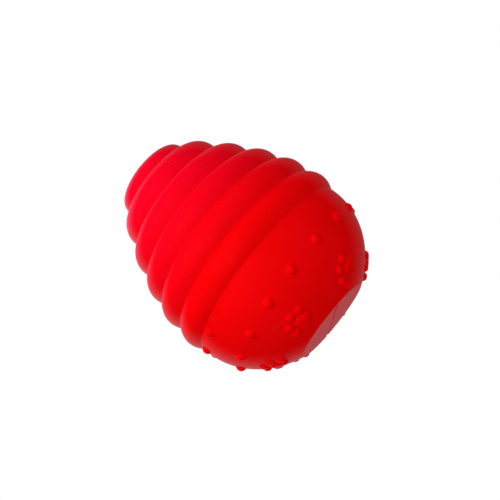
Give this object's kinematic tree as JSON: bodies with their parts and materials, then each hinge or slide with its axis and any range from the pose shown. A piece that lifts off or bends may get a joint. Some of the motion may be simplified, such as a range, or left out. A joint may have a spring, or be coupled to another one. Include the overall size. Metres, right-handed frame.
{
  "type": "rubber dog toy",
  "caption": "Hollow egg-shaped rubber toy with bulging ribs, small nubs and raised paw prints on a smooth dome, a flat round base and a reed squeaker in its tip.",
  "frame": {"origin": "centre of the flat base, on the face it stands on", "axes": "+Z along the toy's axis from the base to the tip; the seam between the shell halves lies in the YZ plane; +X towards the right shell half"},
  "size_m": [0.0866, 0.0866, 0.0999],
  "materials": {
    "red_rubber": "satin moulded natural rubber",
    "case_plastic": "moulded, matte",
    "insert_plastic": "moulded, matte",
    "reed_film": "thin glossy strip"
  },
  "bodies": {
    "toy": {"shell_half_left": "red_rubber", "shell_half_right": "red_rubber", "squeaker_case": "case_plastic", "reed_seat": "insert_plastic", "reed_clamp": "insert_plastic"},
    "reed": {"reed": "reed_film"}
  },
  "joints": [
    {"name": "reed_flex", "type": "hinge", "parent": "toy", "child": "reed", "pos_m": [0, 0.00045, 0.0956], "axis": [1, 0, 0], "range_deg": [-1.8, 6]}
  ]
}
